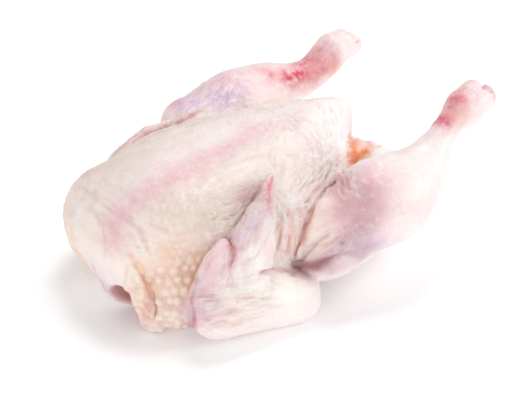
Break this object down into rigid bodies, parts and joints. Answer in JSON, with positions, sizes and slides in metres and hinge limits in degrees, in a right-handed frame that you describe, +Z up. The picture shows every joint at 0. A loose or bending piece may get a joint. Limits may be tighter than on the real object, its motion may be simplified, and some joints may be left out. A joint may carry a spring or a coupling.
{
  "type": "whole raw chicken",
  "caption": "Whole plucked raw chicken lying on its back, folded wings, raised drumsticks cut at the hock, open vent and neck hole.",
  "frame": {"origin": "under the middle of the bounding box, on the surface that the bird rests on", "axes": "+X towards the tail and the hocks, +Y towards the bird's left side, +Z up through the breast"},
  "size_m": [0.2368, 0.179, 0.1006],
  "materials": {
    "skin": "moist satin"
  },
  "bodies": {
    "root": {"chicken": "skin"}
  },
  "joints": []
}
